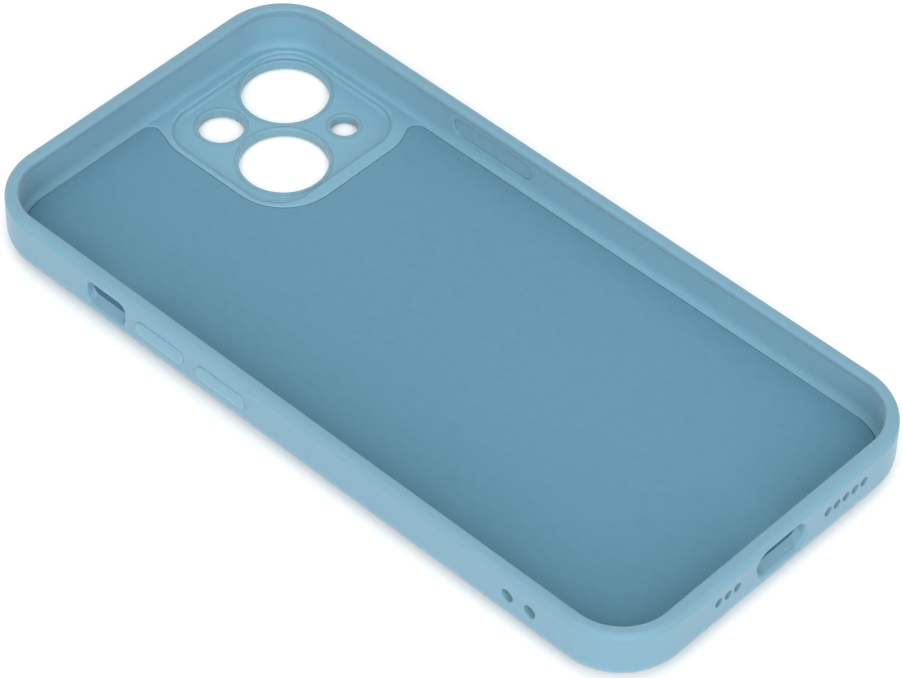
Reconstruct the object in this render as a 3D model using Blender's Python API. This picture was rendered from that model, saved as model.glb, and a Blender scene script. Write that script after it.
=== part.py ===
# Soft phone case, lying on its back with the open side up.
# Metres, +Z up. Origin: centre of the footprint, on the lowest face (the camera frame's rim).
# +Y is the end with the camera holes, +X the side with the single side button.
from math import acos, cos, pi, radians, sin, sqrt

import bmesh
import bpy

for old in list(bpy.data.objects):
    bpy.data.objects.remove(old, do_unlink=True)

MM = 0.001

# ---- driving dimensions, millimetres ----
WIDTH = 75.1                # across the side walls
LENGTH = 150.9              # over the end walls
BACK_Z = 0.7                # the camera frame stands this far off the back
DEPTH = 11.3                # back face to rim
CORNER_R = 13.0             # plan corner, outer side
BOTTOM_R = 4.0              # outer edge between back and walls
RIM_R = 1.2                 # outer edge of the rim
GAP = 0.15                  # clearance between layers that lie on each other

SKIN_WALL = 0.95            # silicone skin, side walls
SKIN_BACK = 0.8
SIDE_WALL = 1.8             # skin, gap and shell together
END_EXTRA = 0.3             # the end walls are this much thicker
SHELL_TOP = 9.4             # above the back face
LIP_NOSE = 2.6              # how far the rim reaches in from the outer side
LIP_R = 0.45

LEDGE_Z = 2.4               # shell floor round the lining
POCKET_Z = 1.6              # shell floor under the lining
FILM_T = 0.1
LINING_T = 0.5
LINING_INSET = 3.05         # lining's edge from the outer side
FLOOR_R = 1.0               # fillet between shell wall and shell floor

CAM_CENTRE = (17.2, 55.35)  # camera recess, rounded square
CAM_HALF = (16.15, 15.25)
CAM_R = 7.0
CAM_FLOOR = 1.2             # recess floor above the back face
BOSS_WALL = 0.6             # shell wall round the recess
FRAME_RIM = 1.35            # raised frame outside the recess outline
COLLAR = 0.4                # silicone collar round each camera hole
CAM_HOLES = {               # x, y, radius
    "lens_a": (24.6, 62.0, 8.0),
    "lens_b": (12.0, 49.7, 8.0),
    "flash": (10.4, 63.8, 4.15),
    "mic": (25.8, 48.3, 2.5),
}

BUTTON_Z = 6.6              # button and slot centres above the back face
PAD_HALF_H = 1.6
PAD_PROUD = 0.35
PAD_TRAVEL = 0.35
PAD_FIT = 0.2               # gap round a pad in the skin
FLANGE = 0.45               # a pad's inner flange beyond its outline
WINDOW_FIT = 0.2            # gap round the flange in the shell
PADS = {                    # side, y, half length
    "volume_up_button": (-1, 29.5, 5.7),
    "volume_down_button": (-1, 14.95, 5.7),
    "side_button": (1, 21.6, 8.9),
}

SLOT_Y, SLOT_HALF, SLOT_R = 42.7, (4.6, 2.35), 1.4      # mute switch cut-out
PORT_Z, PORT_HALF = 7.25, (6.1, 2.6)                    # port cut-out
GRILLE_Z, GRILLE_R, GRILLE_PITCH = 7.3, 0.9, 2.27
SPEAKER_X, SPEAKER_COUNT = 11.4, 5
MIC_X, MIC_COUNT = -15.5, 3
CORD_HOLES_Y, CORD_HOLE_R = (-49.85, -54.7), 1.25       # wrist strap holes
BEHIND = 0.3                # shell openings are this much wider than the skin's
SILL = 0.35                 # but the shell's sill stands this much above the skin's cut-out

CORNER_SEG = 10


# ---- outlines, plan points in millimetres ----
def rounded_rect(hx, hy, r, cx=0.0, cy=0.0, seg=CORNER_SEG):
    points = []
    for k, (sx, sy) in enumerate(((1, 1), (-1, 1), (-1, -1), (1, -1))):
        for i in range(seg + 1):
            a = (k + i / seg) * pi / 2
            points.append((cx + sx * (hx - r) + r * cos(a), cy + sy * (hy - r) + r * sin(a)))
    return points


def circle(cx, cy, r, count):
    return [(cx + r * cos(2 * pi * i / count), cy + r * sin(2 * pi * i / count)) for i in range(count)]


def stadium(hl, hh, cx=0.0, cy=0.0, seg=6):
    return rounded_rect(hl, hh, 0.97 * min(hl, hh), cx, cy, seg)


def filleted(corners, step=10.0):
    """Closed outline through corners (x, y, radius), each one rounded by its radius."""
    points = []
    for i, (x, y, r) in enumerate(corners):
        ax, ay = corners[i - 1][0] - x, corners[i - 1][1] - y
        bx, by = corners[(i + 1) % len(corners)][0] - x, corners[(i + 1) % len(corners)][1] - y
        la, lb = sqrt(ax * ax + ay * ay), sqrt(bx * bx + by * by)
        ax, ay, bx, by = ax / la, ay / la, bx / lb, by / lb
        half = sqrt((1 + ax * bx + ay * by) / 2)            # cosine of half the inner angle
        tangent = r * half / sqrt(1 - half * half)
        mx, my = ax + bx, ay + by
        lm = sqrt(mx * mx + my * my)
        to_centre = sqrt(r * r + tangent * tangent)
        cx, cy = x + mx / lm * to_centre, y + my / lm * to_centre
        sx, sy = x + ax * tangent - cx, y + ay * tangent - cy
        ex, ey = x + bx * tangent - cx, y + by * tangent - cy
        sweep = acos(max(-1.0, min(1.0, (sx * ex + sy * ey) / (r * r))))
        sign = 1 if sx * ey - sy * ex > 0 else -1
        count = max(2, round(sweep / radians(step)))
        for k in range(count + 1):
            a = sign * sweep * k / count
            points.append((cx + sx * cos(a) - sy * sin(a), cy + sx * sin(a) + sy * cos(a)))
    return points


def plan_ring(inset, end_extra=0.0):
    """Outline of the case, moved in by inset, and by end_extra more at the two ends."""
    return rounded_rect(WIDTH / 2 - inset, LENGTH / 2 - inset - end_extra, CORNER_R - inset)


def quarter(cx, cz, rx, rz, seg, start=90.0, end=0.0):
    """Points (inset, z) on a quarter ellipse below and outside its centre."""
    out = []
    for i in range(seg + 1):
        a = radians(start + (end - start) * i / seg)
        out.append((cx - rx * cos(a), cz - rz * sin(a)))
    return out


# ---- solids ----
def mesh_object(name, bm):
    bmesh.ops.recalc_face_normals(bm, faces=bm.faces)
    mesh = bpy.data.meshes.new(name)
    bm.to_mesh(mesh)
    bm.free()
    mesh.shade_smooth()
    mesh.set_sharp_from_angle(angle=radians(32))
    obj = bpy.data.objects.new(name, mesh)
    bpy.context.collection.objects.link(obj)
    return obj


def loft(name, loops, origin=(0.0, 0.0, 0.0)):
    """Closed solid through loops of (x, y, z) in millimetres, capped at both ends."""
    bm = bmesh.new()
    rows = [[bm.verts.new([(c - o) * MM for c, o in zip(p, origin)]) for p in loop] for loop in loops]
    count = len(rows[0])
    for lower, upper in zip(rows, rows[1:]):
        for i in range(count):
            j = (i + 1) % count
            bm.faces.new((lower[i], lower[j], upper[j], upper[i]))
    bm.faces.new(rows[0])
    bm.faces.new(rows[-1])
    obj = mesh_object(name, bm)
    obj.location = [o * MM for o in origin]
    return obj


def tray(name, profile):
    """Solid swept round the case's outline; profile holds (inset, end extra, height over the back)."""
    return loft(name, [[(x, y, BACK_Z + z) for x, y in plan_ring(d, e)] for d, e, z in profile])


def prism(name, outline, axis, low, high):
    """Outline extruded along X, Y or Z; the outline's axes are the other two, in X, Y, Z order."""
    def at(p, v):
        return {"X": (v, p[0], p[1]), "Y": (p[0], v, p[1]), "Z": (p[0], p[1], v)}[axis]
    return loft(name, [[at(p, low) for p in outline], [at(p, high) for p in outline]])


def combine(target, tool, operation):
    tool.hide_render = True
    tool.display_type = "WIRE"
    mod = target.modifiers.new(tool.name, "BOOLEAN")
    mod.operation = operation
    mod.object = tool


def material(name, color, roughness, sheen=0.0):
    mat = bpy.data.materials.new(name)
    mat.use_nodes = True
    shader = mat.node_tree.nodes["Principled BSDF"]
    shader.inputs["Base Color"].default_value = (*color, 1.0)
    shader.inputs["Roughness"].default_value = roughness
    shader.inputs["Metallic"].default_value = 0.0
    shader.inputs["Sheen Weight"].default_value = sheen
    return mat


def wall_outline(outline, height):
    """Side-wall outline drawn about (along, height over the back), moved to world heights."""
    return [(u, BACK_Z + height + v) for u, v in outline]


# ---- outer silicone skin: a tray whose rim folds in over the shell's top edge ----
skin_profile = [(d, 0.0, z) for d, z in quarter(BOTTOM_R, BOTTOM_R, BOTTOM_R, BOTTOM_R, 6)]
for i in range(5):
    a = i / 4 * pi / 2
    skin_profile.append((RIM_R * (1 - cos(a)), 0.0, DEPTH - RIM_R * (1 - sin(a))))
for i in range(4):
    a = i / 3 * pi / 2
    skin_profile.append((LIP_NOSE - LIP_R * (1 - sin(a)), END_EXTRA, DEPTH - LIP_R * (1 - cos(a))))
ledge_under = SHELL_TOP + GAP
skin_profile += [
    (LIP_NOSE, END_EXTRA, DEPTH - 0.8),
    (SIDE_WALL, END_EXTRA, ledge_under + 0.25),
    (SIDE_WALL, END_EXTRA, ledge_under),
    (SKIN_WALL, END_EXTRA / 2, ledge_under),
]
skin_profile += [(d, END_EXTRA / 2, z) for d, z in
                 quarter(BOTTOM_R, BOTTOM_R, BOTTOM_R - SKIN_WALL, BOTTOM_R - SKIN_BACK, 6, 0.0, 90.0)]
skin = tray("outer_skin", skin_profile)


# ---- inner shell: firm tray with the lining's pocket and the camera recess in its floor ----
shell_wall = SKIN_WALL + GAP
shell_back = SKIN_BACK + GAP
shell_profile = [(d, END_EXTRA / 2, z) for d, z in
                 quarter(BOTTOM_R, BOTTOM_R, BOTTOM_R - shell_wall, BOTTOM_R - shell_back, 6)]
shell_profile += [(shell_wall, END_EXTRA / 2, SHELL_TOP), (SIDE_WALL, END_EXTRA, SHELL_TOP)]
shell_profile += [(d, END_EXTRA, z) for d, z in
                  quarter(SIDE_WALL + FLOOR_R, LEDGE_Z + FLOOR_R, FLOOR_R, FLOOR_R, 4, 0.0, 90.0)]
shell = tray("inner_shell", shell_profile)


# ---- camera end: raised frame outside, stepped recess inside, collars round the holes ----
def camera_outline(grow):
    return rounded_rect(CAM_HALF[0] + grow, CAM_HALF[1] + grow, CAM_R + grow, *CAM_CENTRE, seg=8)


frame_loops = []
for grow, z in ((FRAME_RIM - 0.5, 0.0), (FRAME_RIM - 0.15, 0.12), (FRAME_RIM, 0.4), (FRAME_RIM, BACK_Z + 0.5)):
    frame_loops.append([(x, y, z) for x, y in camera_outline(grow)])
combine(skin, loft("add_camera_frame", frame_loops), "UNION")
boss_low = BACK_Z + 0.3
combine(skin, prism("cut_boss_seat", camera_outline(BOSS_WALL + GAP), "Z", boss_low - GAP, BACK_Z + 2.0),
        "DIFFERENCE")
combine(shell, prism("add_camera_boss", camera_outline(BOSS_WALL), "Z", boss_low, BACK_Z + 1.4), "UNION")
combine(shell, prism("cut_camera_recess", camera_outline(0.0), "Z", BACK_Z + CAM_FLOOR, BACK_Z + 3.0),
        "DIFFERENCE")
for hole, (x, y, r) in CAM_HOLES.items():
    count = 40 if r > 5 else 28 if r > 3 else 20
    combine(skin, prism("add_collar_" + hole, circle(x, y, r + COLLAR, count), "Z", 0.35, BACK_Z + CAM_FLOOR),
            "UNION")
    combine(skin, prism("cut_skin_" + hole, circle(x, y, r, count), "Z", -1.0, BACK_Z + 3.0), "DIFFERENCE")
    combine(shell, prism("cut_shell_" + hole, circle(x, y, r + COLLAR + GAP, count), "Z", -1.0, BACK_Z + 3.0),
            "DIFFERENCE")


# ---- lining: one sheet with a rounded notch round the camera recess, on an adhesive film ----
def lining_outline(shrink):
    hx = WIDTH / 2 - LINING_INSET - shrink
    hy = LENGTH / 2 - LINING_INSET - END_EXTRA / 2 - shrink
    left, low = -0.4 - shrink, 37.2 - shrink
    return filleted([
        (hx, low + 2.7, 1.9),
        (28.5, low, 8.0),
        (left, low, 11.0),
        (left, 65.0, 8.0),
        (left + 2.3, hy, 1.9),
        (-hx, hy, 9.7),
        (-hx, -hy, 9.7),
        (hx, -hy, 9.7),
    ])


film_z = BACK_Z + POCKET_Z + GAP
lining_z = film_z + FILM_T + 0.1
combine(shell, prism("cut_lining_pocket", lining_outline(-GAP), "Z", BACK_Z + POCKET_Z, BACK_Z + 3.0),
        "DIFFERENCE")
film = prism("adhesive_film", lining_outline(0.2), "Z", film_z, film_z + FILM_T)
lining = prism("microfibre_lining", lining_outline(0.0), "Z", lining_z, lining_z + LINING_T)


# ---- side buttons: a proud pad in the skin with a wider flange in the shell's window ----
pads = []
half_width = WIDTH / 2
for name, (side, y, half_length) in PADS.items():
    steps = (
        (half_width + PAD_PROUD, -0.32),
        (half_width + PAD_PROUD - 0.09, -0.10),
        (half_width + PAD_PROUD - 0.3, 0.0),
        (half_width - shell_wall, 0.0),
        (half_width - shell_wall - 0.01, FLANGE),
        (half_width - SIDE_WALL + PAD_TRAVEL, FLANGE),
    )
    loops = [[(side * x, u, v) for u, v in
              wall_outline(stadium(half_length + grow, PAD_HALF_H + grow, y), BUTTON_Z)] for x, grow in steps]
    pads.append(loft(name, loops, origin=(side * half_width, y, BACK_Z + BUTTON_Z)))
    inner, outer = sorted((side * (half_width - 3.0), side * (half_width + 1.0)))
    opening = wall_outline(stadium(half_length + PAD_FIT, PAD_HALF_H + PAD_FIT, y), BUTTON_Z)
    combine(skin, prism("cut_skin_" + name, opening, "X", inner, outer), "DIFFERENCE")
    grow = FLANGE + WINDOW_FIT
    opening = wall_outline(stadium(half_length + grow, PAD_HALF_H + grow, y), BUTTON_Z)
    combine(shell, prism("cut_shell_" + name, opening, "X", inner, outer), "DIFFERENCE")


# ---- cut-outs through the walls: mute switch, port, grilles and strap holes ----
def open_topped(half_length, low, cx, r=1.0):
    """Rounded notch outline that runs out past the shell's top edge."""
    high = SHELL_TOP + 2.0
    return [(u, BACK_Z + v) for u, v in
            rounded_rect(half_length, (high - low) / 2, r, cx, (high + low) / 2, 4)]


x_out, x_in = -half_width - 1.0, -half_width + 3.2
y_out, y_in = -LENGTH / 2 - 1.0, -LENGTH / 2 + 3.5
outline = wall_outline(rounded_rect(*SLOT_HALF, SLOT_R, SLOT_Y, 0.0, 6), BUTTON_Z)
combine(skin, prism("cut_skin_switch", outline, "X", x_out, x_in), "DIFFERENCE")
outline = open_topped(SLOT_HALF[0] + BEHIND, BUTTON_Z - SLOT_HALF[1] + SILL, SLOT_Y)
combine(shell, prism("cut_shell_switch", outline, "X", x_out, x_in), "DIFFERENCE")

outline = wall_outline(stadium(*PORT_HALF, seg=8), PORT_Z)
combine(skin, prism("cut_skin_port", outline, "Y", y_out, y_in), "DIFFERENCE")
outline = open_topped(PORT_HALF[0] + BEHIND, PORT_Z - PORT_HALF[1] + SILL, 0.0, 2.8)
combine(shell, prism("cut_shell_port", outline, "Y", y_out, y_in), "DIFFERENCE")

for group, first, count in (("speaker", SPEAKER_X, SPEAKER_COUNT), ("mic_grille", MIC_X, MIC_COUNT)):
    for i in range(count):
        outline = wall_outline(circle(first + i * GRILLE_PITCH, 0.0, GRILLE_R, 14), GRILLE_Z)
        combine(skin, prism(f"cut_{group}_{i + 1}", outline, "Y", y_out, y_in), "DIFFERENCE")
    span = (count - 1) * GRILLE_PITCH / 2
    outline = wall_outline(stadium(span + GRILLE_R + BEHIND, GRILLE_R + BEHIND, first + span), GRILLE_Z)
    combine(shell, prism(f"cut_shell_{group}", outline, "Y", y_out, y_in), "DIFFERENCE")

for i, y in enumerate(CORD_HOLES_Y):
    outline = wall_outline(circle(y, 0.0, CORD_HOLE_R, 16), BUTTON_Z)
    combine(skin, prism(f"cut_skin_strap_{i + 1}", outline, "X", x_out, x_in), "DIFFERENCE")
    outline = wall_outline(circle(y, 0.0, CORD_HOLE_R + BEHIND, 16), BUTTON_Z)
    combine(shell, prism(f"cut_shell_strap_{i + 1}", outline, "X", x_out, x_in), "DIFFERENCE")


# ---- materials ----
silicone = (0.19, 0.38, 0.49)
skin.data.materials.append(material("silicone_skin", silicone, 0.62, 0.15))
for pad in pads:
    pad.data.materials.append(material("silicone_" + pad.name, (0.20, 0.39, 0.50), 0.6, 0.15))
shell.data.materials.append(material("shell_plastic", (0.18, 0.37, 0.48), 0.55))
film.data.materials.append(material("adhesive_film", (0.75, 0.76, 0.74), 0.35))
lining.data.materials.append(material("microfibre", (0.115, 0.30, 0.41), 0.95, 0.4))
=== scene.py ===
from math import acos, cos, pi, radians, sin, sqrt

import bmesh
import bpy
from mathutils import Matrix, Vector


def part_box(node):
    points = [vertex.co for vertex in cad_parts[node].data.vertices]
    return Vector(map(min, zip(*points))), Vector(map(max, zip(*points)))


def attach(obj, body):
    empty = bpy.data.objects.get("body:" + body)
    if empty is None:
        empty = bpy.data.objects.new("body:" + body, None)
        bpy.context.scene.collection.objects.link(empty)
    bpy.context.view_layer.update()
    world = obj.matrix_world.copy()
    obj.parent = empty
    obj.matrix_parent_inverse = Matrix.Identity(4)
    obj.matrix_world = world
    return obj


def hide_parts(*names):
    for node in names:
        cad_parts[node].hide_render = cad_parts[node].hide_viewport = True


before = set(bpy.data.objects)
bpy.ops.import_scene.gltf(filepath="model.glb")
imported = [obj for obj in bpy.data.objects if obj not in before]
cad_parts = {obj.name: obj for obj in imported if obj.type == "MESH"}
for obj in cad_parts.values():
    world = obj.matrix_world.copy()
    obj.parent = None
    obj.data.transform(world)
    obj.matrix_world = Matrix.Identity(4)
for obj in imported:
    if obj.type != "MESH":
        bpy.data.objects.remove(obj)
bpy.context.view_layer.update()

MM = 0.001

# ---- the case's own sizes, millimetres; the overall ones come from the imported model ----
# RIM_Z and BACK_Z are above the ground; the other heights are above the back of the case, at BACK_Z.
low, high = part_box("outer_skin")
HALF_W = (high[0] - low[0]) / 2 / MM
HALF_L = (high[1] - low[1]) / 2 / MM
RIM_Z = high[2] / MM
BACK_Z = 0.7                         # the camera frame holds the back this far off the ground
DEPTH = RIM_Z - BACK_Z
CORNER_R, CORNER_SEG = 13.0, 28      # corners seen from above
BOTTOM_R, RIM_R = 4.0, 1.2           # outer rounding at the back and at the rim
GAP = 0.15                           # between one layer and the next
SKIN_WALL, SKIN_BACK = 0.95, 0.8
SIDE_WALL, END_EXTRA = 1.8, 0.3      # whole wall, and how much thicker it is at the two ends
SHELL_TOP, DRAFT = 9.4, 0.3          # the shell's wall leans out by DRAFT towards its top
LIP_NOSE, LIP_R, CORNER_LIP = 2.6, 0.55, 1.0  # how far the rim turns in, its rounding, tighter corners
LIP_SEAM = 0.008                     # between the rim's underside and the shell's top
LEDGE_Z, POCKET_Z = 2.4, 1.6         # ledge round the lining, and the floor that it lies on
LEDGE_R, POCKET_R = 0.6, 0.26        # rounding of the ledge's edge at the camera recess, at the lining
LINING_INSET = 3.05
FLOOR_RX, FLOOR_RZ = 1.05, 1.9       # rounding from the shell's wall down to its ledge

# camera recess, its frame on the back, and the holes as (x, y, radius)
CAM_CENTRE, CAM_HALF, CAM_R = (17.2, 55.35), (16.15, 15.25), 7.0
CAM_FLOOR, CAM_ROUND = 1.2, 0.75     # recess floor, and its rounding up into the recess wall
FRAME_RIM, FRAME_R = 1.35, 0.5       # how far the frame on the back reaches round the recess, its rounding
BOSS_WALL, BOSS_BASE = 0.6, 0.3      # the shell's boss under the recess: reach round it, and where it starts
CAM_HOLES = ((24.6, 62.0, 8.0), (12.0, 49.7, 8.0), (10.4, 63.8, 4.15), (25.8, 48.3, 2.5))
COLLAR, COLLAR_FIT = 0.4, 0.08       # skin collar round each hole, and its fit in the shell
RING_W, RING_H = 0.75, 0.15          # low rounded ring on the collar
HOLE_IN_R, HOLE_OUT_R = 0.3, 0.45    # rounding of each hole's inner and outer edge

# buttons as (node, body, side, y, half length)
BUTTON_Z, PAD_HALF_H, PAD_PROUD, PAD_TRAVEL = 6.6, 1.6, 0.35, 0.35
PAD_SEAM, FLANGE, WINDOW_FIT = 0.03, 0.45, 0.06  # gap in the skin, edge that holds a pad in, its room
PAD_DOME, PAD_EDGE = 0.32, 1.25      # fall and width of a pad's rounded edge
SEAM_SHIFT, SEAM_R = 0.015, 0.07     # the seam round a pad is a hair wider above; rounding of its edge
WINDOW_R = 0.3
PADS = (
    ("volume_up_button", "volume_up", -1, 29.5, 5.7),
    ("volume_down_button", "volume_down", -1, 14.95, 5.7),
    ("side_button", "side_key", 1, 21.6, 8.9),
)

# cut-outs in the walls
SLOT_Y, SLOT_HALF, SLOT_R = 42.7, (4.6, 2.35), 1.4
PORT_Z, PORT_HALF = 7.25, (5.95, 2.6)
SLOT_FLARE, PORT_FLARE = 0.6, 0.8    # rounding of their outer edges
SLEEVE, SLEEVE_SHORT = 0.2, 0.03     # skin that lines them: thickness, and how far short of the inside
RISE = 0.8                           # how much their floors rise inwards
BEHIND = 0.3                         # the shell's own cut-outs are this much larger
SLOT_NOTCH_R, PORT_NOTCH_R = 1.6, 2.8
GRILLE_Z, GRILLE_R, GRILLE_PITCH, GRILLE_EDGE = 7.3, 0.9, 2.27, 0.15
GRILLES = ((11.4, 5), (-15.5, 3))    # first hole's x, number of holes
CORD_HOLES_Y, CORD_HOLE_R, CORD_EDGE = (-49.85, -54.7), 1.25, 0.22
SIDE_REACH, END_REACH = 3.2, 3.5     # how far in a cutter reaches, from the outside of the wall

LINING_SOFT = 0.22                   # rounding of the lining's cut edge


# ---- outlines ----
def rounded_rect(hx, hy, r, cx=0.0, cy=0.0, seg=CORNER_SEG):
    points = []
    for k, (sx, sy) in enumerate(((1, 1), (-1, 1), (-1, -1), (1, -1))):
        for i in range(seg + 1):
            a = (k + i / seg) * pi / 2
            points.append((cx + sx * (hx - r) + r * cos(a), cy + sy * (hy - r) + r * sin(a)))
    return points


def circle(cx, cy, r, count):
    return [(cx + r * cos(2 * pi * i / count), cy + r * sin(2 * pi * i / count)) for i in range(count)]


def stadium(hl, hh, cx=0.0, cy=0.0, seg=14):
    return rounded_rect(hl, hh, 0.97 * min(hl, hh), cx, cy, seg)


def filleted(corners, step=4.0):
    """Outline through (x, y, radius) corners, with a point every `step` degrees of each round."""
    points = []
    for i, (x, y, r) in enumerate(corners):
        ax, ay = corners[i - 1][0] - x, corners[i - 1][1] - y
        bx, by = corners[(i + 1) % len(corners)][0] - x, corners[(i + 1) % len(corners)][1] - y
        la, lb = sqrt(ax * ax + ay * ay), sqrt(bx * bx + by * by)
        ax, ay, bx, by = ax / la, ay / la, bx / lb, by / lb
        half = sqrt((1 + ax * bx + ay * by) / 2)
        tangent = r * half / sqrt(1 - half * half)
        mx, my = ax + bx, ay + by
        lm = sqrt(mx * mx + my * my)
        to_centre = sqrt(r * r + tangent * tangent)
        cx, cy = x + mx / lm * to_centre, y + my / lm * to_centre
        sx, sy = x + ax * tangent - cx, y + ay * tangent - cy
        ex, ey = x + bx * tangent - cx, y + by * tangent - cy
        sweep = acos(max(-1.0, min(1.0, (sx * ex + sy * ey) / (r * r))))
        sign = 1 if sx * ey - sy * ex > 0 else -1
        count = max(3, round(sweep / radians(step)))
        for k in range(count + 1):
            a = sign * sweep * k / count
            points.append((cx + sx * cos(a) - sy * sin(a), cy + sx * sin(a) + sy * cos(a)))
    return points


def plan_ring(inset, end_extra=0.0, tighter=0.0):
    """The case's outline from above, moved in by `inset`, and by `end_extra` more at the ends."""
    return rounded_rect(HALF_W - inset, HALF_L - inset - end_extra, CORNER_R - inset - tighter)


def camera_outline(grow):
    return rounded_rect(CAM_HALF[0] + grow, CAM_HALF[1] + grow, CAM_R + grow, *CAM_CENTRE, seg=20)


def lining_outline(shrink):
    hx = HALF_W - LINING_INSET - shrink
    hy = HALF_L - LINING_INSET - END_EXTRA / 2 - shrink
    left, floor = -0.4 - shrink, 37.2 - shrink
    return filleted([
        (hx, floor + 2.7, 1.9), (hx - 6.0, floor, 8.0), (left, floor, 11.0), (left, hy - 7.25, 8.0),
        (left + 2.3, hy, 1.9), (-hx, hy, 9.7), (-hx, -hy, 9.7), (hx, -hy, 9.7),
    ])


def on_wall(outline, height):
    """An outline drawn round (0, 0), moved up to a height on the wall."""
    return [(u, BACK_Z + height + v) for u, v in outline]


def quarter(cx, cz, rx, rz, seg, start=90.0, end=0.0):
    """(inset, height) points along a quarter of an ellipse."""
    out = []
    for i in range(seg + 1):
        a = radians(start + (end - start) * i / seg)
        out.append((cx - rx * cos(a), cz - rz * sin(a)))
    return out


def turns(step):
    """(1 - sin, 1 - cos) of 0 to 90 degrees: the two parts of a quarter round."""
    return [(1 - sin(radians(a)), 1 - cos(radians(a))) for a in range(0, 91, step)]


# ---- solids: each is a list of loops of 3-D points ----
def placed(outline, axis, v):
    return [{"X": (v, p[0], p[1]), "Y": (p[0], v, p[1]), "Z": (p[0], p[1], v)}[axis] for p in outline]


def prism(outline, axis, a, b):
    return [placed(outline, axis, a), placed(outline, axis, b)]


def flare(surface, inward, radius, seg=5):
    """(coordinate, growth) pairs that round a hole's edge over at a surface, from outside in."""
    pairs = [(surface - inward * 2.0, radius * 0.76)]  # from 2 mm outside, a little past the round's mouth
    for i in range(seg + 1):
        a = radians(75.0 * (1 - i / seg))
        pairs.append((surface + inward * radius * (1 - sin(a)), radius * (1 - cos(a))))
    return pairs


def bore(outline, axis, stations):
    """outline(growth) swept along an axis through (coordinate, growth) stations."""
    return [placed(outline(grow), axis, v) for v, grow in stations]


def make(name, *solids):
    """One mesh object of closed solids, in metres."""
    bm = bmesh.new()
    for loops in solids:
        rows = [[bm.verts.new([c * MM for c in p]) for p in loop] for loop in loops]
        count = len(rows[0])
        if any(len(row) != count for row in rows):
            raise RuntimeError(name + ": loops of one solid differ in length")
        for lower, upper in zip(rows, rows[1:]):
            for i in range(count):
                j = (i + 1) % count
                bm.faces.new((lower[i], lower[j], upper[j], upper[i]))
        bm.faces.new(rows[0])
        bm.faces.new(rows[-1])
    bmesh.ops.recalc_face_normals(bm, faces=bm.faces)
    mesh = bpy.data.meshes.new(name)
    bm.to_mesh(mesh)
    bm.free()
    obj = bpy.data.objects.new(name, mesh)
    bpy.context.collection.objects.link(obj)
    return obj


def carved(obj, steps):
    """Runs (operation, tool) Booleans in turn, keeps the result and removes the tools."""
    for operation, tool in steps:
        mod = obj.modifiers.new(tool.name, "BOOLEAN")
        mod.operation, mod.solver, mod.object = operation, "EXACT", tool
    graph = bpy.context.evaluated_depsgraph_get()
    mesh = bpy.data.meshes.new_from_object(obj.evaluated_get(graph))
    obj.modifiers.clear()
    old, obj.data = obj.data, mesh
    mesh.name = obj.name
    bpy.data.meshes.remove(old)
    for _, tool in steps:
        data = tool.data
        bpy.data.objects.remove(tool, do_unlink=True)
        bpy.data.meshes.remove(data)
    return obj


def finished(obj, sharp=34.0):
    """Smooth shading with flat faces kept flat."""
    obj.data.shade_smooth()
    obj.data.set_sharp_from_angle(angle=radians(sharp))
    mod = obj.modifiers.new("weighted", "WEIGHTED_NORMAL")
    mod.keep_sharp = True
    mod.weight = 60
    return obj


# ---- outer silicone skin ----
profile = [(d, 0.0, z) for d, z in quarter(BOTTOM_R, BOTTOM_R, BOTTOM_R, BOTTOM_R, 18)]
for i in range(11):
    a = i / 10 * pi / 2
    profile.append((RIM_R * (1 - cos(a)), 0.0, DEPTH - RIM_R * (1 - sin(a))))
for i in range(7):
    a = i / 6 * pi / 2
    profile.append((LIP_NOSE - LIP_R * (1 - sin(a)), END_EXTRA, DEPTH - LIP_R * (1 - cos(a))))
under = SHELL_TOP + LIP_SEAM
profile += [
    (LIP_NOSE, END_EXTRA, DEPTH - 0.72),
    (LIP_NOSE - 0.12, END_EXTRA, DEPTH - 0.88),
    (SIDE_WALL + DRAFT, END_EXTRA, under + 0.25),
    (SIDE_WALL + DRAFT, END_EXTRA, under),
    (SKIN_WALL, END_EXTRA / 2, under),
]
profile += [(d, END_EXTRA / 2, z) for d, z in
            quarter(BOTTOM_R, BOTTOM_R, BOTTOM_R - SKIN_WALL, BOTTOM_R - SKIN_BACK, 12, 0.0, 90.0)]
skin_rings = []
for d, e, z in profile:
    on_lip = max(0.0, min(1.0, (d - SIDE_WALL) / (LIP_NOSE - SIDE_WALL)))
    tighter = CORNER_LIP * on_lip if z > under + 0.3 else 0.0
    skin_rings.append([(x, y, BACK_Z + z) for x, y in plan_ring(d, e, tighter)])
skin = make("skin_soft", skin_rings)

frame_steps = [(FRAME_RIM - FRAME_R * s, FRAME_R * c) for s, c in turns(15)]
frame_steps.append((FRAME_RIM, BACK_Z + 0.5))
camera_frame = [placed(camera_outline(grow), "Z", z) for grow, z in frame_steps]
seat = prism(camera_outline(BOSS_WALL + GAP), "Z", BACK_Z + BOSS_BASE - GAP, BACK_Z + 2.0)
floor_z = BACK_Z + CAM_FLOOR


def lens_outline(x, y, r, extra=0.0):
    """A camera hole's outline as a function of growth, with more points on a larger hole."""
    count = 96 if r > 5 else 64 if r > 3 else 48
    return lambda grow: circle(x, y, r + extra + grow, count)


collars, bores = [], []
for hole in CAM_HOLES:
    steps = [(0.35, COLLAR), (floor_z + 0.01, COLLAR), (floor_z + 0.01, RING_W)]
    for a in range(0, 91, 18):
        ring_z = floor_z + 0.03 + (RING_H - 0.03) * sin(radians(a))
        steps.append((ring_z, RING_W - 0.3 * (1 - cos(radians(a)))))
    collars.append(bore(lens_outline(*hole), "Z", steps))
    through = flare(floor_z + RING_H, -1, HOLE_IN_R) + flare(0.0, 1, HOLE_OUT_R)[::-1]
    bores.append(bore(lens_outline(*hole), "Z", through))

# outer and inner faces of the -X wall and the -Y end
side_out, end_out = -HALF_W, -HALF_L
side_in, end_in = side_out + SIDE_WALL, end_out + SIDE_WALL + END_EXTRA


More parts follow.
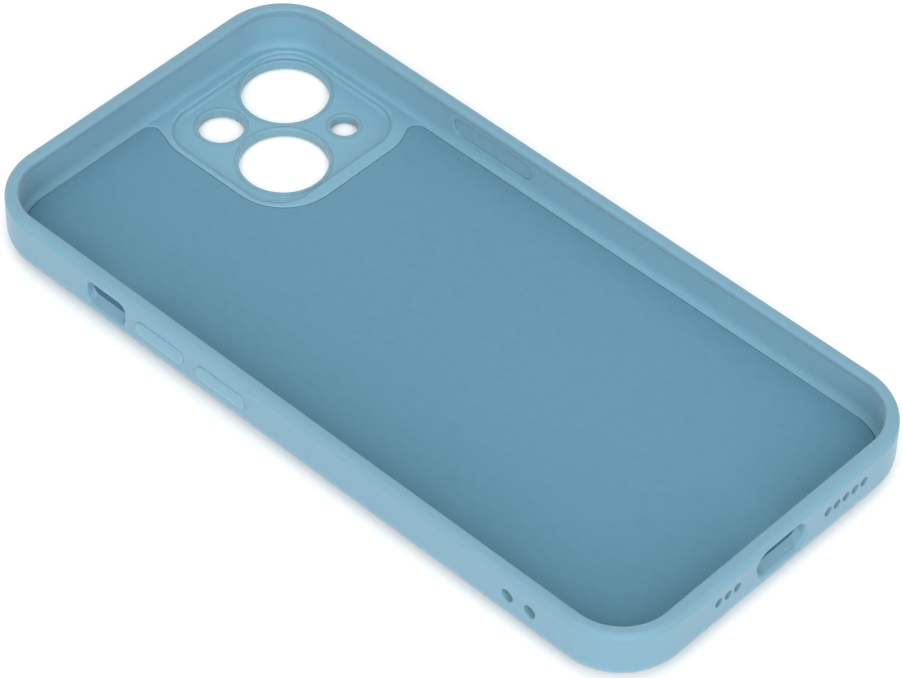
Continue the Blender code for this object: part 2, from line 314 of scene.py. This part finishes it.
def slot(grow, rise=0.0):
    half_v = SLOT_HALF[1] + grow - rise / 2
    outline = rounded_rect(SLOT_HALF[0] + grow, half_v, SLOT_R + grow, SLOT_Y, 0.0, 12)
    return on_wall(outline, BUTTON_Z + rise / 2)


def port(grow, rise=0.0):
    outline = stadium(PORT_HALF[0] + grow, PORT_HALF[1] + grow - rise / 2)
    return on_wall(outline, PORT_Z + rise / 2)


# the skin lines both cut-outs right through the wall, and their floors rise inwards
bores.append(bore(slot, "X", flare(side_out, 1, SLOT_FLARE, 8))
             + prism(slot(0.0, RISE), "X", side_in, side_out + SIDE_REACH))
bores.append(bore(port, "Y", flare(end_out, 1, PORT_FLARE, 9))
             + prism(port(0.0, RISE), "Y", end_in, end_out + END_REACH))
sleeves = [prism(slot(SLEEVE), "X", side_out + 0.5, side_in - SLEEVE_SHORT),
           prism(port(SLEEVE), "Y", end_out + 0.5, end_in - SLEEVE_SHORT)]
for first, number in GRILLES:
    for i in range(number):
        x = first + i * GRILLE_PITCH
        hole = lambda grow, x=x: on_wall(circle(x, 0.0, GRILLE_R + grow, 28), GRILLE_Z)
        bores.append(bore(hole, "Y", flare(end_out, 1, GRILLE_EDGE) + [(end_out + END_REACH, 0.0)]))
for y in CORD_HOLES_Y:
    hole = lambda grow, y=y: on_wall(circle(y, 0.0, CORD_HOLE_R + grow, 32), BUTTON_Z)
    bores.append(bore(hole, "X", flare(side_out, 1, CORD_EDGE) + [(side_out + SIDE_REACH, 0.0)]))
for _, _, side, y, half in PADS:
    opening = lambda grow, y=y, half=half: on_wall(
        stadium(half + PAD_SEAM + grow, PAD_HALF_H + PAD_SEAM + grow, y - SEAM_SHIFT),
        BUTTON_Z + SEAM_SHIFT)
    stations = flare(side * HALF_W, -side, SEAM_R) + [(side * (HALF_W - 2.0), 0.0)]
    bores.append(bore(opening, "X", stations))

carved(skin, [
    ("UNION", make("t_frame", camera_frame)),
    ("DIFFERENCE", make("t_seat", seat)),
    ("UNION", make("t_collars", *collars, *sleeves)),
    ("DIFFERENCE", make("t_holes", *bores)),
])
finished(skin)

# ---- inner shell ----
wall_in, back_in = SKIN_WALL + GAP, SKIN_BACK + GAP
profile = [(d, END_EXTRA / 2, z) for d, z in
           quarter(BOTTOM_R, BOTTOM_R, BOTTOM_R - wall_in, BOTTOM_R - back_in, 12)]
profile += [
    (wall_in, END_EXTRA / 2, SHELL_TOP),
    (SIDE_WALL + DRAFT - 0.08, END_EXTRA, SHELL_TOP),
    (SIDE_WALL + DRAFT, END_EXTRA, SHELL_TOP - 0.08),
    (SIDE_WALL + DRAFT * 0.45, END_EXTRA, SHELL_TOP - 1.8),
]
profile += [(d, END_EXTRA, z) for d, z in
            quarter(SIDE_WALL + FLOOR_RX, LEDGE_Z + FLOOR_RZ, FLOOR_RX, FLOOR_RZ, 14, 0.0, 90.0)]
shell = make("shell_tray", [[(x, y, BACK_Z + z) for x, y in plan_ring(d, e)] for d, e, z in profile])

ledge = BACK_Z + LEDGE_Z
recess = [(floor_z + CAM_ROUND * c, -CAM_ROUND * s) for s, c in turns(15)]
recess += flare(ledge, -1, LEDGE_R, 8)[::-1]
pocket = [(BACK_Z + POCKET_Z, 0.0)] + flare(ledge, -1, POCKET_R, 6)[::-1]
openings = [
    bore(camera_outline, "Z", recess),
    bore(lambda grow: lining_outline(-GAP - grow), "Z", pocket),
]


def through_side(outline):
    openings.append(prism(outline, "X", side_out - 1, side_out + SIDE_REACH))


def through_end(outline):
    openings.append(prism(outline, "Y", end_out - 1, end_out + END_REACH))


def notch(half, low_z, cx, r):
    """Cut-out that is open at the top of the shell's wall, under the skin's rim."""
    top = SHELL_TOP + 2.0
    outline = rounded_rect(half, (top - low_z) / 2, r, cx, (top + low_z) / 2, 10)
    return [(u, BACK_Z + v) for u, v in outline]


through_side(notch(SLOT_HALF[0] + BEHIND, BUTTON_Z - SLOT_HALF[1] - BEHIND, SLOT_Y, SLOT_NOTCH_R))
through_end(notch(PORT_HALF[0] + BEHIND, PORT_Z - PORT_HALF[1] - BEHIND, 0.0, PORT_NOTCH_R))
for first, number in GRILLES:
    span = (number - 1) * GRILLE_PITCH / 2
    long_hole = stadium(span + GRILLE_R + BEHIND, GRILLE_R + BEHIND, first + span)
    through_end(on_wall(long_hole, GRILLE_Z))
for y in CORD_HOLES_Y:
    through_side(on_wall(circle(y, 0.0, CORD_HOLE_R + BEHIND, 32), BUTTON_Z))
for _, _, side, y, half in PADS:
    grow = FLANGE + WINDOW_FIT
    window = lambda g, y=y, half=half, grow=grow: on_wall(
        stadium(half + grow + g, PAD_HALF_H + grow + g, y), BUTTON_Z)
    inner = side * (HALF_W - SIDE_WALL)
    stations = flare(inner - side * DRAFT, side, WINDOW_R, 5) + [(side * (HALF_W + 1), 0.0)]
    openings.append(bore(window, "X", stations))
stations = flare(floor_z, -1, 0.1, 3) + [(-1.0, 0.0)]
lens_cuts = [bore(lens_outline(*hole, COLLAR + COLLAR_FIT), "Z", stations) for hole in CAM_HOLES]
boss = prism(camera_outline(BOSS_WALL), "Z", BACK_Z + BOSS_BASE, BACK_Z + 1.4)
carved(shell, [
    ("UNION", make("t_boss", boss)),
    ("DIFFERENCE", make("t_openings", *openings)),
    ("DIFFERENCE", make("t_lenses", *lens_cuts)),
])
finished(shell)

# ---- lining: a sheet of microfibre with softly rounded cut edges ----
low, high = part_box("microfibre_lining")
z0, z1 = low[2] / MM, high[2] / MM
steps = [(z0, 0.03), (z0 + 0.06, 0.0)]
steps += [(z1 - LINING_SOFT * s, LINING_SOFT * c) for s, c in turns(18)]
lining = make("lining_microfibre", [placed(lining_outline(shrink), "Z", z) for z, shrink in steps])
finished(lining, 50.0)

# ---- button pads ----
pads = []
face = HALF_W + PAD_PROUD
pad_back = HALF_W - SIDE_WALL + PAD_TRAVEL
steps = [(face - PAD_DOME * c, -PAD_EDGE * s) for s, c in turns(9)]
steps += [(HALF_W - wall_in, 0.0), (HALF_W - wall_in - 0.01, FLANGE)]
steps += [(pad_back - 0.02, FLANGE), (pad_back - 0.08, FLANGE - 0.06)]
for name, body, side, y, half in PADS:
    loops = [placed(on_wall(stadium(half + grow, PAD_HALF_H + grow, y), BUTTON_Z), "X", side * x)
             for x, grow in steps]
    pads.append((finished(make("pad_" + body, loops), 40.0), name, body))


# ---- materials ----
def new_material(name):
    mat = bpy.data.materials.new(name)
    mat.use_nodes = True
    nodes, links = mat.node_tree.nodes, mat.node_tree.links
    shader = nodes["Principled BSDF"]
    coords = nodes.new("ShaderNodeTexCoord")
    return mat, nodes, links, shader, coords.outputs["Object"]


def noise(nodes, links, vector, scale, detail=3.0, roughness=0.55, stretch=None):
    if stretch:
        mapping = nodes.new("ShaderNodeMapping")
        mapping.inputs["Scale"].default_value = stretch
        links.new(vector, mapping.inputs["Vector"])
        vector = mapping.outputs["Vector"]
    tex = nodes.new("ShaderNodeTexNoise")
    tex.inputs["Scale"].default_value = scale
    tex.inputs["Detail"].default_value = detail
    tex.inputs["Roughness"].default_value = roughness
    links.new(vector, tex.inputs["Vector"])
    return tex.outputs["Fac"]


def ranged(nodes, links, value, lo, hi):
    node = nodes.new("ShaderNodeMapRange")
    node.inputs["From Min"].default_value = 0.25
    node.inputs["From Max"].default_value = 0.75
    node.inputs["To Min"].default_value = lo
    node.inputs["To Max"].default_value = hi
    links.new(value, node.inputs["Value"])
    return node.outputs["Result"]


def mixed(nodes, links, factor, a, b):
    node = nodes.new("ShaderNodeMix")
    node.data_type, node.blend_type = "RGBA", "MIX"
    links.new(factor, node.inputs["Factor"])
    for socket, value in (("A", a), ("B", b)):
        target = [s for s in node.inputs if s.name == socket and s.type == "RGBA"][0]
        if hasattr(value, "links"):
            links.new(value, target)
        else:
            target.default_value = (*value, 1.0)
    return [s for s in node.outputs if s.type == "RGBA"][0]


def bumped(nodes, links, height, distance, strength, normal=None):
    node = nodes.new("ShaderNodeBump")
    node.inputs["Distance"].default_value = distance
    node.inputs["Strength"].default_value = strength
    links.new(height, node.inputs["Height"])
    if normal:
        links.new(normal, node.inputs["Normal"])
    return node.outputs["Normal"]


def silicone(name, base, deep, pale, rough=0.6):
    """Matt rubbery surface: slow colour drift and fine grain."""
    mat, nodes, links, shader, co = new_material(name)
    drift = ranged(nodes, links, noise(nodes, links, co, 38.0, 2.0), 0.0, 1.0)
    colour = mixed(nodes, links, drift, deep, base)
    speck = ranged(nodes, links, noise(nodes, links, co, 2600.0, 2.0), 0.0, 0.16)
    colour = mixed(nodes, links, speck, colour, pale)
    links.new(colour, shader.inputs["Base Color"])
    smudge = ranged(nodes, links, noise(nodes, links, co, 420.0, 4.0), rough - 0.05, rough + 0.07)
    links.new(smudge, shader.inputs["Roughness"])
    normal = bumped(nodes, links, noise(nodes, links, co, 70.0, 1.0), 0.00012, 0.18)
    normal = bumped(nodes, links, noise(nodes, links, co, 3200.0, 3.0, 0.7), 0.00004, 0.30, normal)
    links.new(normal, shader.inputs["Normal"])
    shader.inputs["Subsurface Weight"].default_value = 0.4
    shader.inputs["Subsurface Radius"].default_value = (0.8, 1.0, 1.0)
    shader.inputs["Subsurface Scale"].default_value = 0.0012
    shader.inputs["Specular IOR Level"].default_value = 0.35
    shader.inputs["Sheen Weight"].default_value = 0.25
    shader.inputs["Sheen Roughness"].default_value = 0.45
    shader.inputs["Sheen Tint"].default_value = (0.80, 0.90, 1.0, 1.0)
    return mat


def microfibre(name, base, deep, pale):
    """Brushed suede: lying nap, small tufts and a soft sheen."""
    mat, nodes, links, shader, co = new_material(name)
    clouds = ranged(nodes, links, noise(nodes, links, co, 26.0, 3.0, 0.5, (1.0, 0.45, 1.0)), 0.0, 1.0)
    colour = mixed(nodes, links, clouds, deep, base)
    nap = ranged(nodes, links, noise(nodes, links, co, 900.0, 4.0, 0.65, (1.0, 0.35, 1.0)), 0.0, 0.35)
    colour = mixed(nodes, links, nap, colour, pale)
    tuft = ranged(nodes, links, noise(nodes, links, co, 3600.0, 2.0, 0.7), 0.0, 0.4)
    colour = mixed(nodes, links, tuft, colour, deep)
    links.new(colour, shader.inputs["Base Color"])
    worn = ranged(nodes, links, noise(nodes, links, co, 700.0, 3.0), 0.86, 1.0)
    links.new(worn, shader.inputs["Roughness"])
    normal = bumped(nodes, links, noise(nodes, links, co, 120.0, 2.0), 0.00008, 0.25)
    pile = noise(nodes, links, co, 1500.0, 4.0, 0.7, (1.0, 0.5, 1.0))
    normal = bumped(nodes, links, pile, 0.00010, 0.45, normal)
    links.new(normal, shader.inputs["Normal"])
    shader.inputs["Specular IOR Level"].default_value = 0.15
    shader.inputs["Sheen Weight"].default_value = 0.35
    shader.inputs["Sheen Roughness"].default_value = 0.6
    shader.inputs["Sheen Tint"].default_value = (0.65, 0.85, 1.0, 1.0)
    return mat


def film(name):
    """Hazy pale adhesive."""
    mat, nodes, links, shader, co = new_material(name)
    haze = ranged(nodes, links, noise(nodes, links, co, 180.0, 4.0), 0.0, 1.0)
    colour = mixed(nodes, links, haze, (0.66, 0.68, 0.66), (0.78, 0.79, 0.77))
    links.new(colour, shader.inputs["Base Color"])
    links.new(ranged(nodes, links, haze, 0.3, 0.5), shader.inputs["Roughness"])
    normal = bumped(nodes, links, noise(nodes, links, co, 900.0, 3.0), 0.00003, 0.3)
    links.new(normal, shader.inputs["Normal"])
    return mat


SKIN = silicone("silicone_blue", (0.121, 0.241, 0.309), (0.115, 0.231, 0.298), (0.16, 0.285, 0.352))
# painted light: the pads' silicone is a little lighter than the skin's, to offset the shade on the side
# key's recessed back inside the case
PAD = silicone("silicone_pad_lightened", (0.124, 0.252, 0.324), (0.118, 0.242, 0.313), (0.164, 0.298, 0.37))
# painted light: the shell's silicone is lighter than the skin's, standing in for light that the inner walls
# miss in the shade under the rim and inside the cavity
SHELL = silicone("shell_blue_lightened", (0.127, 0.272, 0.350), (0.120, 0.260, 0.337), (0.168, 0.318, 0.396), 0.56)
LINING = microfibre("lining_suede", (0.057, 0.164, 0.228), (0.051, 0.151, 0.212), (0.087, 0.21, 0.278))

for obj, mat in ((skin, SKIN), (shell, SHELL), (lining, LINING)):
    obj.data.materials.clear()
    obj.data.materials.append(mat)
    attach(obj, "case")
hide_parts("outer_skin")
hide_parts("inner_shell")
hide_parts("microfibre_lining")
low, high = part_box("microfibre_lining")
for pad, node, body in pads:
    pad.data.materials.append(PAD)
    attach(pad, body)
    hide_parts(node)
FILM = film("adhesive_haze")
for slot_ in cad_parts["adhesive_film"].material_slots:
    slot_.material = FILM

# ---- floor ----
floor_mesh = bpy.data.meshes.new("floor")
size, top = 2.5, -0.0002
corners = [(-size, -size, top), (size, -size, top), (size, size, top), (-size, size, top)]
floor_mesh.from_pydata(corners, [], [(0, 1, 2, 3)])
floor = bpy.data.objects.new("floor", floor_mesh)
bpy.context.collection.objects.link(floor)
mat, nodes, links, shader, co = new_material("floor_white")
shade = ranged(nodes, links, noise(nodes, links, co, 3.0, 2.0), 0.0, 1.0)
colour = mixed(nodes, links, shade, (0.775, 0.78, 0.785), (0.795, 0.795, 0.795))
links.new(colour, shader.inputs["Base Color"])
shader.inputs["Roughness"].default_value = 0.9
shader.inputs["Specular IOR Level"].default_value = 0.1
floor_mesh.materials.append(mat)

# ---- light ----
scene = bpy.context.scene
world = bpy.data.worlds.new("studio")
world.use_nodes = True
world.node_tree.nodes["Background"].inputs["Color"].default_value = (1.0, 1.0, 1.0, 1.0)
world.node_tree.nodes["Background"].inputs["Strength"].default_value = 0.62
scene.world = world


def softbox(name, location, width, height, power):
    """Rectangular light that faces the origin."""
    light = bpy.data.lights.new(name, "AREA")
    light.shape, light.size, light.size_y, light.energy = "RECTANGLE", width, height, power
    obj = bpy.data.objects.new(name, light)
    obj.location = location
    obj.rotation_euler = (-Vector(location)).to_track_quat("-Z", "Y").to_euler()
    bpy.context.collection.objects.link(obj)


softbox("key", (-1.0, -0.92, 0.9), 2.0, 1.5, 42.0)
softbox("top", (0.2, 0.2, 1.6), 1.8, 1.8, 15.0)

# ---- camera: angles, metres and a focal length in millimetres, fitted to the view in the photo ----
azimuth, elevation, roll = radians(-47.51), radians(46.32), radians(1.34)
distance, side_shift, up_shift, focal = 0.7396, -0.00174, -0.00074, 173.78
back = Vector((sin(azimuth) * cos(elevation), -cos(azimuth) * cos(elevation), sin(elevation)))
right = Vector((cos(azimuth), sin(azimuth), 0.0))
up = back.cross(right)
r_axis = cos(roll) * right + sin(roll) * up
u_axis = -sin(roll) * right + cos(roll) * up
camera = bpy.data.objects.new("camera", bpy.data.cameras.new("camera"))
eye = back * distance - r_axis * side_shift - u_axis * up_shift + Vector((0.0, 0.0, BACK_Z * MM))
camera.matrix_world = Matrix((
    (r_axis[0], u_axis[0], back[0], eye[0]),
    (r_axis[1], u_axis[1], back[1], eye[1]),
    (r_axis[2], u_axis[2], back[2], eye[2]),
    (0.0, 0.0, 0.0, 1.0),
))
camera.data.lens = focal
camera.data.sensor_width = 36.0
camera.data.clip_start = 0.01
bpy.context.collection.objects.link(camera)
scene.camera = camera
scene.view_settings.view_transform = "Standard"
